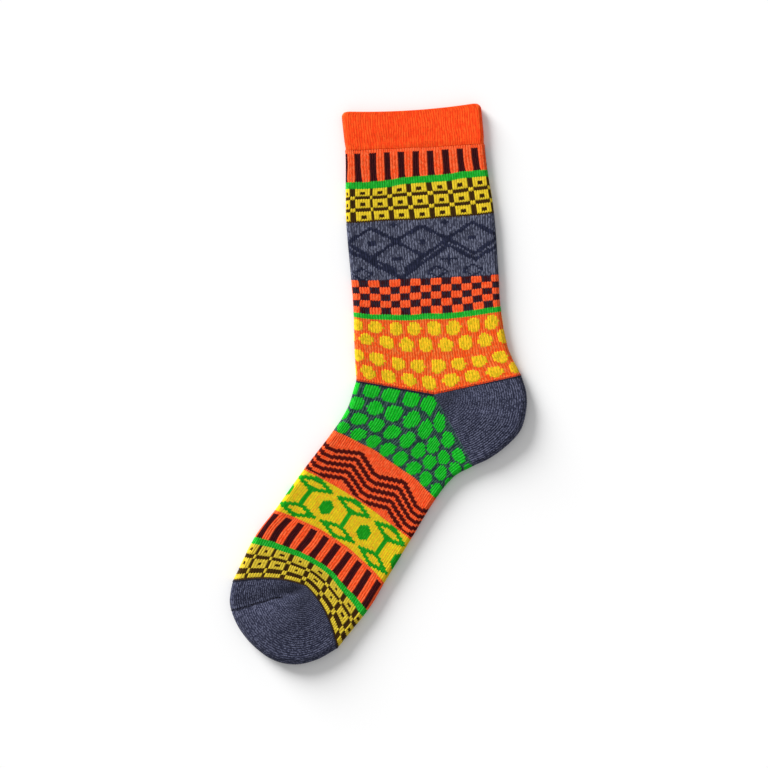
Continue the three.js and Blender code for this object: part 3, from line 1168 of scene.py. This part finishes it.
def tube_place(shape: Shape, wale: Array, inset: Array) -> Array:
    """Puts points of a flattened tube in space.

    Args:
        shape: The course of each point.
        wale: Its place round the tube, in wales from the front fold.
        inset: How far it lies inside the outer face.

    Returns:
        Points in millimetres.
    """
    width, radius = shape.width(), shape.stack / 2
    above = wale <= FACE_WALES
    side = np.where(above, wale, WALES_ROUND - wale) / FACE_WALES
    half_flat = width / 2 - radius
    arc = np.abs(side - 0.5) * 2 * (half_flat + radius * math.pi / 2)
    out, up, share = fold_section(arc, half_flat, radius, inset)
    u = np.clip((width / 2 + np.sign(side - 0.5) * out) / width, 0, 1)
    place = shape.point(u)
    return stacked(place, above, radius, up, share, sag(2 * u - 1))


@dataclass
class Welt(KnitTube):
    """The plain welt, turned over at the cuff's edge."""

    def pitch(self) -> float:
        """Gives the height of one course at the front fold."""
        edge, end = self.run.values[0], self.run.values[1]
        return float(np.linalg.norm(edge[:2] - end[:2]) / self.run.counts[1])

    def stations(self) -> tuple[Array, Array]:
        """Gives the rows of the wall, with more of them round the turned edge.

        Returns:
            The courses, and 0 for each row outside and 1 for each inside.
        """
        course, depth = super().stations()
        turn = np.linspace(0, 1, WELT_TURN_ROWS + 2)[1:-1] ** 2 * WELT_EDGE_ROUND / self.pitch()
        return (np.concatenate([course[:1], turn, course[1:], turn[::-1]]),
                np.concatenate([depth[:1], turn * 0, depth[1:], turn * 0 + 1]))

    def wall(self, course: Array) -> Array:
        """Gives the wall's thickness."""
        return np.full(course.shape, WELT_WALL)

    def drawn_in(self, course: Array) -> Array:
        """Gives how far both faces of the wall turn into it at the cuff's edge."""
        short = np.clip(1 - course * self.pitch() / WELT_EDGE_ROUND, 0, 1)
        return WELT_EDGE_ROUND * (1 - np.sqrt(1 - short**2))

    def place(self, wale: Array, course: Array, inset: Array) -> Array:
        """Puts points of the knit in space, with the cuff's corners rounded.

        Args:
            wale: Places round the piece.
            course: Places down it.
            inset: How far each lies inside the outer face.

        Returns:
            Points in millimetres.
        """
        wale, course = strayed(wale, course, np.clip(course / JOIN_COURSES, 0, 1))
        wale = wale % WALES_ROUND
        shape = self.run.at(np.maximum(course, 0))
        short = np.clip(WELT_CORNER - np.maximum(course, 0) * self.pitch(), 0, None)
        inwards = (WELT_CORNER - np.sqrt(WELT_CORNER**2 - short**2))[..., None]
        nip = WELT_NIP * np.exp(-((course - self.last) / WELT_NIP_COURSES) ** 2)
        inwards = inwards + nip[..., None]
        across = shape.back - shape.front
        across = across / np.linalg.norm(across, axis=-1, keepdims=True)
        shape.front = shape.front + across * inwards
        shape.back = shape.back - across * inwards
        return tube_place(shape, wale, inset)


@dataclass
class KnitPocket(KnitPiece):
    """A pocket of knit, fanned about its point from one end course to the other.

    Args:
        first: Its first end course, as points from the pocket's point at 0 to the fold at 1.
        second: Its second, in the same way.
        outline: Its folded edge between them.
        stack: Height of the flattened tube where it starts and ends.
        swell: How much higher it is half way.
        courses: How many it has.
    """

    first: Callable[[Array], Array]
    second: Callable[[Array], Array]
    outline: tuple[tuple[float, float], ...]
    stack: float
    swell: float
    courses: int
    seam: tuple[tuple[float, float], ...] = ()
    seam_reach: float = 0.75  # how far the cloth draws in beside the seam
    seam_depth: float = 0.65  # how deep it does
    seam_shaded: float = 0.35  # nearer to the seam than this, the cloth is painted in shade
    shaded_end: float = 1.0  # courses painted in shade at the pocket's second end; its first course always is
    tuck: float = 0.8  # how far it goes under its neighbours
    tuck_depth: float = 0.5  # how far below their face
    rim: Array = field(init=False, repr=False)

    def __post_init__(self) -> None:
        """Draws the folded outline, through its points, evenly spaced."""
        ends = self.first(np.array([1.0])), self.second(np.array([1.0]))
        self.rim = spaced_curve(np.concatenate([ends[0], np.array(self.outline), ends[1]]))

    def columns(self) -> int:
        """Gives the number of faces along the pocket's section, over and under."""
        return 2 * POCKET_WALES * COLUMNS_PER_WALE

    def stations(self) -> tuple[Array, Array]:
        """Gives the rows of the wall, with a row tucked under each neighbour.

        Returns:
            The courses, and the share of the wall's depth of each row.
        """
        rows = self.courses * ROWS_PER_COURSE
        outside = np.linspace(0, self.courses, rows + 1)
        inside = np.linspace(self.courses, 0, INNER_ROWS + 1)
        tucked = np.array([self.tuck_depth / WALL])
        return (np.concatenate([outside, [self.courses + self.tuck], inside, [-self.tuck]]),
                np.concatenate([np.zeros(rows + 1), tucked, np.ones(INNER_ROWS + 1), tucked]))

    def fade(self, wale: Array, course: Array) -> Array:
        """Gives how much of a stitch shows. It fades at the ends and at the point.

        Args:
            wale: Places round the piece.
            course: Places down it.

        Returns:
            Shares from 0 to 1.
        """
        ends = np.clip(np.minimum(course, self.courses - course), 0, 1)
        inwards = POCKET_WALES - np.abs(wale - POCKET_WALES)
        return ends * smooth(np.clip(inwards / POINT_WALES, 0, 1))

    def pattern(self, wale: Array, course: Array) -> Array:
        """Gives the yarn of the stitch at each place: plain marl, with painted shade along the seam
        and at the pocket's ends.

        Args:
            wale: Places round the piece.
            course: Places down it.

        Returns:
            Indices into YARNS.
        """
        # Painted shade on the seam, on the first course and on the last shaded_end courses.
        near = self.near_seam(wale, course) > self.seam_shaded
        near |= (course < 1) | (course > self.courses - self.shaded_end)
        return np.where(near, yarn_index(Yarn.SEAM_SHADE), yarn_index(Yarn.POCKET_MARL))

    def near_seam(self, wale: Array, course: Array) -> Array:
        """Gives how near each place on the upper side is to the seam, 1 on it and 0 away.

        Args:
            wale: Places round the piece.
            course: Places down it.

        Returns:
            Shares from 0 to 1.
        """
        if not self.seam:
            return np.zeros(wale.shape)
        places = self.place(wale, course, np.zeros(wale.shape))[:, :2]
        line = spaced_curve(np.array(self.seam), SEAM_SPOTS)
        away = np.min([np.hypot(*(places - spot).T) for spot in line], axis=0)
        return np.clip(1 - away / self.seam_reach, 0, 1) * (wale < POCKET_WALES)

    def relief(self, wale: Array, course: Array, shows: Array | float = 1.0) -> Array:
        """Gives the depth of the knit's surface, with the groove that the seam draws in."""
        groove = self.seam_depth * self.near_seam(wale, course)
        return super().relief(wale, course, shows) + groove

    def place(self, wale: Array, course: Array, inset: Array) -> Array:
        """Puts points of the knit in space, on spokes from the pocket's point to its fold.

        Args:
            wale: Places round the piece.
            course: Places down it.
            inset: How far each lies inside the outer face.

        Returns:
            Points in millimetres.
        """
        beyond = course / self.courses
        t = np.clip(beyond, 0, 1)
        spot = t * (len(self.rim) - 1)
        tip = np.stack([np.interp(spot, np.arange(len(self.rim)), self.rim[:, k])
                        for k in (0, 1)], -1)
        zero = np.zeros_like(t)
        point = self.first(zero)
        depth = np.linalg.norm(tip - point, axis=-1)
        fuller = self.swell * np.sin(np.pi * t)
        radius = (self.stack + fuller) / 2
        above = wale <= POCKET_WALES
        side = np.where(above, wale, 2 * POCKET_WALES - wale) / POCKET_WALES
        flat = depth - radius
        arc = side * (flat + radius * math.pi / 2)
        out, up, share = fold_section(arc, flat, radius, inset)
        w = out / depth
        place = point + (tip - point) * w[..., None]
        for end, weight in ((self.first, (1 - t) ** 2), (self.second, t**2)):
            straight = end(zero) + (end(zero + 1) - end(zero)) * w[..., None]
            place = place + (end(w) - straight) * weight[..., None]
        unfilled = fuller * (1 - smooth(np.clip(w / SWELL_REACH, 0, 1)))
        laid = stacked(place, above, radius, up, share, sag(w) + unfilled)
        laid[..., :2] += self.overlap(beyond - t, tip - point)
        return laid

    def overlap(self, beyond: Array, spoke: Array) -> Array:
        """Gives the shift of the tucked rows, square to their spoke.

        Args:
            beyond: How far each row lies past an end, as a share of the courses.
            spoke: The way from the pocket's point to its fold.

        Returns:
            Shifts seen from above, in millimetres.
        """
        square = np.stack([spoke[..., 1], -spoke[..., 0]], -1)
        square = square / np.linalg.norm(square, axis=-1, keepdims=True)
        return square * (beyond * self.courses)[..., None]

    def flat_size(self) -> tuple[float, float]:
        """Gives the size that the pocket is knitted to, round its two sides.

        Returns:
            Its size in metres.
        """
        point = self.first(np.zeros(1))
        depth = np.linalg.norm(self.rim - point, axis=-1)
        rim = np.linalg.norm(np.diff(self.rim, axis=0), axis=-1).sum()
        return 2 * float(depth.mean()) * MM, float(rim) * MM * 0.5


def spaced_curve(points: Array, count: int = CURVE_SPOTS) -> Array:
    """Draws the centripetal Catmull-Rom curve through points, evenly spaced.

    Args:
        points: The places that it passes.
        count: How many places to give along it.

    Returns:
        Places at equal distances.
    """
    def blend(a: Array, b: Array, s: float, e: float, t: Array) -> Array:
        """Blends from a at s to b at e."""
        return a * (e - t) / (e - s) + b * (t - s) / (e - s)

    def along(line: Array) -> Array:
        """Gives the distance along a line of each of its places."""
        return np.concatenate([[0], np.cumsum(np.linalg.norm(np.diff(line, axis=0), axis=1))])

    ends = np.concatenate([[2 * points[0] - points[1]], points, [2 * points[-1] - points[-2]]])
    pieces = []
    for i in range(1, len(ends) - 2):
        four = ends[i - 1:i + 3]
        knots = np.concatenate([[0], np.cumsum(
            np.linalg.norm(np.diff(four, axis=0), axis=1) ** 0.5)])
        t = np.linspace(knots[1], knots[2], CURVE_STEPS)[:, None]
        legs = [blend(four[k], four[k + 1], knots[k], knots[k + 1], t) for k in range(3)]
        arms = [blend(legs[k], legs[k + 1], knots[k], knots[k + 2], t) for k in range(2)]
        pieces.append(blend(arms[0], arms[1], knots[1], knots[2], t))
    curve = np.concatenate(pieces)
    even = np.linspace(0, along(curve)[-1], count)
    return np.stack([np.interp(even, along(curve), curve[:, k]) for k in (0, 1)], -1)


class Nodes:
    """A material's node tree, with one call that adds a node."""

    def __init__(self, name: str) -> None:
        """Starts an empty tree.

        Args:
            name: The material's name.
        """
        self.material = bpy.data.materials.new(name)
        self.material.use_nodes = True
        self.tree = self.material.node_tree
        self.tree.nodes.clear()

    def add(self, kind: str, inputs: dict[str, object], **settings: object) -> bpy.types.Node:
        """Adds a node.

        Args:
            kind: Its type, such as "ShaderNodeTexNoise".
            inputs: Its inputs by name, each a value or the output that feeds it.
            settings: Its own properties.

        Returns:
            The node.
        """
        node = self.tree.nodes.new(kind)
        for name, value in settings.items():
            setattr(node, name, value)
        for name, value in inputs.items():
            socket = node.inputs[name]
            if isinstance(value, bpy.types.NodeSocket):
                self.tree.links.new(value, socket)
            else:
                socket.default_value = value
        return node


@dataclass(frozen=True)
class KnitFinish:
    """Knitted yarn, in the colours that the piece's stitches carry, with their painted light and
    shade.

    Args:
        name: The material's name.
        roughness: How matt the yarn is.
        fuzz: The soft pale edge that loose fibres give it.
        fleck: How much its tone changes along the yarn.
        ply: Depth of the twisted plies, in millimetres.
    """

    name: str
    roughness: float
    fuzz: float
    fleck: float
    ply: float

    def material(self) -> bpy.types.Material:
        """Makes the material: the yarn's colour with its painted light and shade, flecked along
        each wale, with its plies and fuzz.

        Returns:
            The material.
        """
        made = bpy.data.materials.get(self.name)
        if made:
            return made
        nodes = Nodes(self.name)
        # The yarn attribute holds each face's yarn colour with the painted light and shade of its
        # stitches.
        yarn = nodes.add("ShaderNodeAttribute", {}, attribute_name="yarn")
        wales = nodes.add("ShaderNodeUVMap", {}, uv_map="knit")
        # Short streaks along the wales, as the carded fibres take the dye unevenly: each is
        # about 0.6 mm across, on wales of 1.45 mm, and 1 mm along, on courses of 1.06 mm.
        stretch = nodes.add("ShaderNodeMapping", {
            "Vector": wales.outputs["UV"], "Scale": (2.4, 1.1, 1.0)})
        streaks = nodes.add("ShaderNodeTexNoise", {
            "Vector": stretch.outputs["Vector"], "Scale": 1.0, "Detail": 3.0, "Roughness": 0.6},
            noise_dimensions="2D")
        tone = nodes.add("ShaderNodeMapRange", {
            "Value": streaks.outputs["Fac"], "From Min": 0.3, "From Max": 0.7,
            "To Min": 1 - self.fleck, "To Max": 1 + self.fleck})
        # dyed is that colour, painted light and shade included, flecked along the wales.
        dyed = nodes.add("ShaderNodeVectorMath", {
            0: yarn.outputs["Color"], 1: tone.outputs["Result"]}, operation="MULTIPLY")
        # The plies of the yarn, as ridges 0.2 mm apart that slant across each leg of a stitch.
        # That is their real size, so they show only close up.
        turned = nodes.add("ShaderNodeMapping", {
            "Vector": wales.outputs["UV"], "Rotation": (0, 0, math.radians(35)),
            "Scale": (6.0, 3.2, 1.0)})
        plies = nodes.add("ShaderNodeTexWave", {
            "Vector": turned.outputs["Vector"], "Scale": 0.5, "Distortion": 1.5,
            "Detail": 2.0, "Detail Scale": 2.0}, wave_type="BANDS")
        relief = nodes.add("ShaderNodeBump", {
            "Height": plies.outputs["Fac"], "Strength": 0.6, "Distance": self.ply * MM})
        shader = nodes.add("ShaderNodeBsdfPrincipled", {
            "Base Color": dyed.outputs["Vector"], "Roughness": self.roughness,
            "Sheen Weight": self.fuzz, "Sheen Roughness": 0.5, "IOR": 1.45,
            "Specular IOR Level": 0.12, "Normal": relief.outputs["Normal"]})
        nodes.add("ShaderNodeOutputMaterial", {"Surface": shader.outputs["BSDF"]})
        return nodes.material


# Combed cotton takes one dye evenly: a bright, matt orange with hardly a fleck.
WELT_FINISH = KnitFinish("bright orange combed cotton knit", 0.9, 0.06, 0.06, 0.05)
# Dyed cotton yarns keep clear, matt colours that meet sharply, a little uneven along each wale.
JACQUARD_FINISH = KnitFinish("jacquard knit of dyed cotton yarns", 0.9, 0.05, 0.12, 0.05)
# Marl twists a dark and a pale yarn: a soft blue grey, streaked like heather, a little fuzzy.
MARL_FINISH = KnitFinish("blue grey marl cotton knit", 0.92, 0.08, 0.25, 0.06)


@dataclass
class ToeSeam:
    """The linked seam over the toes: a row of small loops that lie in a shallow groove.

    Args:
        path: Places along it, in millimetres, from the front fold inwards.
        pitch: Distance from one loop to the next.
        half: Half the length, width and height of a loop.
        lean: Angle that the loops lean, left and right in turn.
        lift: How far the loops' middle stands above the cloth.
        ahead: Over how many places of the path its heading is taken, each way.
        colour: The linking yarn's colour.
    """

    path: tuple[tuple[float, float], ...]
    pitch: float = 1.9
    half: tuple[float, float, float] = (1.178, 0.3, 0.25)
    lean: float = 28
    lift: float = 0.1
    ahead: int = 4
    colour: str = "#34364A"

    def build(self, cloth: bpy.types.Object) -> bpy.types.Object:
        """Sews the seam on the toe pocket.

        Args:
            cloth: The toe pocket.

        Returns:
            The seam.
        """
        line = spaced_curve(np.array(self.path))
        length = float(np.linalg.norm(np.diff(line, axis=0), axis=1).sum())
        surface = BVHTree.FromObject(cloth, bpy.context.evaluated_depsgraph_get())
        bm = bmesh.new()
        for number in range(round(length / self.pitch)):
            spot = int((number + 0.5) * self.pitch / length * (len(line) - 1))
            x, y = line[spot] * MM
            hit = surface.ray_cast(Vector((x, y, 1)), Vector((0, 0, -1)))[0]
            if hit is None:
                continue
            fore, aft = line[min(spot + self.ahead, len(line) - 1)], line[max(spot - self.ahead, 0)]
            lean = math.radians(self.lean if number % 2 else -self.lean)
            turn = math.atan2(*(fore - aft)[::-1]) + lean
            loop = bmesh.ops.create_icosphere(bm, subdivisions=2, radius=1)["verts"]
            bmesh.ops.scale(bm, verts=loop, vec=Vector(self.half) * MM)
            bmesh.ops.rotate(bm, verts=loop, matrix=Matrix.Rotation(turn, 3, "Z"))
            bmesh.ops.translate(bm, verts=loop, vec=hit + Vector((0, 0, self.lift * MM)))
        mesh = mesh_of(bm, "toe_seam")
        mesh.shade_smooth()
        colour_corners(mesh, np.tile([*linear_from_hex(self.colour), 1.0], len(mesh.loops)))
        mesh.uv_layers.new(name="knit")
        seam = linked("toe_seam", mesh)
        mesh.materials.append(MARL_FINISH.material())
        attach(seam, "root")
        LOG.info("toe_seam: %d faces", len(mesh.polygons))
        return seam


@dataclass
class Studio:
    """The pale floor, the soft light and the camera straight above.

    Args:
        view_width: Width of the picture at the sock, in metres.
        centre: What the camera looks at.
        lens: Focal length, in millimetres.
        key_from: The direction that the key light comes from.
        key_power: Its strength.
        key_width: How wide it looks from the sock, in degrees.
        sky: Strength of the light from all round.
        floor_half: Half the floor's width, in metres.
        floor_drop: How far it lies below the sock, so that the two faces don't meet.
        floor_colour: Its colour.
    """

    view_width: float = 0.4608
    centre: tuple[float, float, float] = (0.0035, 0.0, 0.004)
    lens: float = 120.0
    key_from: tuple[float, float, float] = (-1.0, 1.1, 0.54)
    key_power: float = 5.4
    key_width: float = 30.0
    sky: float = 0.48
    floor_half: float = 3.0
    floor_drop: float = 0.0002
    floor_colour: str = "#F9F9F9"

    def build(self) -> None:
        """Sets up the floor, world, lights and camera, with colours shown as they are dyed."""
        bpy.context.scene.view_settings.view_transform = "Standard"
        self.floor()
        self.world()
        self.key_light()
        data = bpy.data.cameras.new("camera")
        data.lens = self.lens
        camera = linked("camera", data)
        away = self.view_width * self.lens / data.sensor_width
        camera.location = (self.centre[0], self.centre[1], self.centre[2] + away)
        bpy.context.scene.camera = camera

    def floor(self) -> None:
        """Lays the plain pale floor."""
        bm = bmesh.new()
        bmesh.ops.create_grid(bm, x_segments=1, y_segments=1, size=self.floor_half)
        mesh = mesh_of(bm, "floor")
        floor = linked("floor", mesh)
        floor.location.z = -self.floor_drop
        # Matt white paper shows nothing but the sock's soft shadow.
        nodes = Nodes("matt white backdrop paper")
        shader = nodes.add("ShaderNodeBsdfPrincipled", {
            "Base Color": (*linear_from_hex(self.floor_colour), 1), "Roughness": 0.9,
            "Specular IOR Level": 0.1})
        nodes.add("ShaderNodeOutputMaterial", {"Surface": shader.outputs["BSDF"]})
        mesh.materials.append(nodes.material)

    def world(self) -> None:
        """Sets the soft light from all round."""
        world = bpy.data.worlds.new("studio")
        world.use_nodes = True
        background = world.node_tree.nodes["Background"]
        background.inputs["Color"].default_value = (1, 1, 1, 1)
        background.inputs["Strength"].default_value = self.sky
        bpy.context.scene.world = world

    def key_light(self) -> None:
        """Hangs one wide soft light, low at the upper left, so that shadows fall lower right."""
        data = bpy.data.lights.new("key", "SUN")
        data.energy = self.key_power
        data.angle = math.radians(self.key_width)
        lamp = linked("key", data)
        lamp.rotation_euler = Vector(self.key_from).to_track_quat("Z", "Y").to_euler()


def heel_pocket() -> KnitPocket:
    """Makes the heel pocket's plan, between the leg's last course and the foot's first.

    Returns:
        The pocket.
    """
    above, below = LEG.at(LEG.counts[-1]), FOOT.at(FOOT.counts[0])
    return KnitPocket(
        "heel_pocket", "grey_marl_knit", MARL_FINISH,
        first=lambda w: above.point(0.5 + w / 2), second=lambda w: below.point(0.5 + w / 2),
        outline=HEEL_OUTLINE, stack=float(above.stack), swell=HEEL_SWELL, courses=60, fleck=0.9,
        shaded_end=0)


def toe_pocket() -> KnitPocket:
    """Makes the toe pocket's plan, round from the sole to the instep.

    Returns:
        The pocket.
    """
    edge = FOOT.at(FOOT.counts[-1])
    return KnitPocket(
        "toe_pocket", "grey_marl_knit", MARL_FINISH,
        first=lambda w: edge.point(0.5 + w / 2), second=lambda w: edge.point(0.5 - w / 2),
        outline=TOE_OUTLINE, stack=float(edge.stack), swell=TOE_SWELL, courses=100,
        seam=TOE_SEAM, fleck=0.9)


def main() -> None:
    """Builds the sock and the studio."""
    logging.basicConfig(level=logging.INFO, format="%(name)s: %(message)s")
    Studio().build()
    Welt("cuff_welt", "orange_welt_knit", WELT_FINISH, LEG, 0, 22, LEG_BANDS,
         fleck=2.5, deep=0.75).build()
    for node, slot, run, first, last, bands, slips in (
        ("leg_upper", "leg_pattern_knit", LEG, 22, 98, LEG_BANDS, LEG_SLIPS),
        ("leg_lower", "ankle_pattern_knit", LEG, 98, 158, LEG_BANDS, LEG_SLIPS),
        ("foot_arch", "arch_pattern_knit", FOOT, 0, 58, FOOT_BANDS, FOOT_SLIPS),
        ("foot_middle", "instep_pattern_knit", FOOT, 58, 86, FOOT_BANDS, FOOT_SLIPS),
        ("foot_front", "foot_pattern_knit", FOOT, 86, 130, FOOT_BANDS, FOOT_SLIPS),
    ):
        KnitTube(node, slot, JACQUARD_FINISH, run, first, last, bands, slips).build()
    heel_pocket().build()
    toe = toe_pocket().build()
    ToeSeam(TOE_SEAM).build(toe)


if __name__ == "__main__":
    main()
